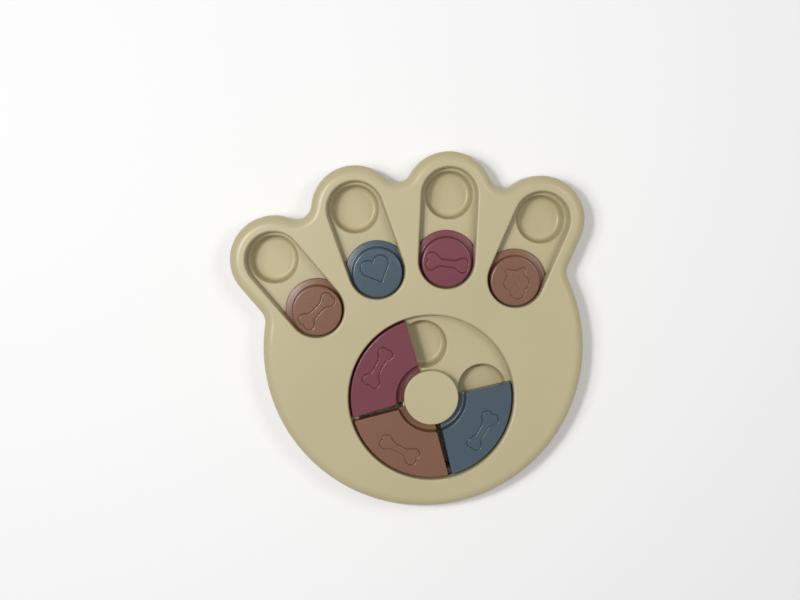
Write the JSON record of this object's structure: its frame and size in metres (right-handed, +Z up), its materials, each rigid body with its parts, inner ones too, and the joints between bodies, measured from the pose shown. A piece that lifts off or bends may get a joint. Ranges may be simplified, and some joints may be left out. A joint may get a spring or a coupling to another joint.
{
  "type": "pet puzzle plate",
  "caption": "Paw-shaped pet puzzle plate: round pucks slide along the toe slots over treat wells, and curved blocks turn in a ring channel round a hub.",
  "frame": {"origin": "on the surface the plate stands on, under the middle of its overall box", "axes": "+Z up, +Y from the palm to the toes, +X to the right seen from above"},
  "size_m": [0.2224, 0.2191, 0.0279],
  "materials": {
    "cover_plastic": "cream injection moulding, fine satin grain",
    "tray_plastic": "cream injection moulding, fine satin grain",
    "plum_plastic": "dusty plum injection moulding, soft sheen",
    "brown_plastic": "cocoa brown injection moulding, soft sheen",
    "blue_plastic": "slate blue injection moulding, soft sheen",
    "foot_rubber": "soft grey rubber, matt",
    "screw_steel": "zinc-plated steel"
  },
  "bodies": {
    "plate": {"top_cover": "cover_plastic", "base_tray": "tray_plastic", "hub_cap": "cover_plastic", "hub_screw": "screw_steel", "cover_screws": "screw_steel", "foot_toe_1": "foot_rubber", "foot_toe_2": "foot_rubber", "foot_toe_3": "foot_rubber", "foot_toe_4": "foot_rubber", "foot_palm_left": "foot_rubber", "foot_palm_right": "foot_rubber"},
    "puck_1": {"toe_puck_1": "brown_plastic"},
    "puck_2": {"toe_puck_2": "blue_plastic"},
    "puck_3": {"toe_puck_3": "plum_plastic"},
    "puck_4": {"toe_puck_4": "brown_plastic"},
    "slider_brown": {"ring_slider_brown": "brown_plastic"},
    "slider_plum": {"ring_slider_plum": "plum_plastic"},
    "slider_blue": {"ring_slider_blue": "blue_plastic"}
  },
  "joints": [
    {"name": "puck_1_slide", "type": "slide", "parent": "plate", "child": "puck_1", "axis": [-0.5299, 0.848, 0], "range_m": [0, 0.0425]},
    {"name": "puck_2_slide", "type": "slide", "parent": "plate", "child": "puck_2", "axis": [-0.1908, 0.9816, 0], "range_m": [0, 0.0425]},
    {"name": "puck_3_slide", "type": "slide", "parent": "plate", "child": "puck_3", "axis": [0.1908, 0.9816, 0], "range_m": [0, 0.0425]},
    {"name": "puck_4_slide", "type": "slide", "parent": "plate", "child": "puck_4", "axis": [0.5299, 0.848, 0], "range_m": [0, 0.0425]},
    {"name": "brown_turn", "type": "hinge", "parent": "plate", "child": "slider_brown", "pos_m": [0, -0.04057, 0.017], "axis": [0, 0, -1], "continuous": true},
    {"name": "plum_turn", "type": "hinge", "parent": "slider_brown", "child": "slider_plum", "pos_m": [0, -0.04057, 0.017], "axis": [0, 0, -1], "range_deg": [-2, 48]},
    {"name": "blue_turn", "type": "hinge", "parent": "slider_brown", "child": "slider_blue", "pos_m": [0, -0.04057, 0.017], "axis": [0, 0, 1], "range_deg": [-2, 48]}
  ]
}
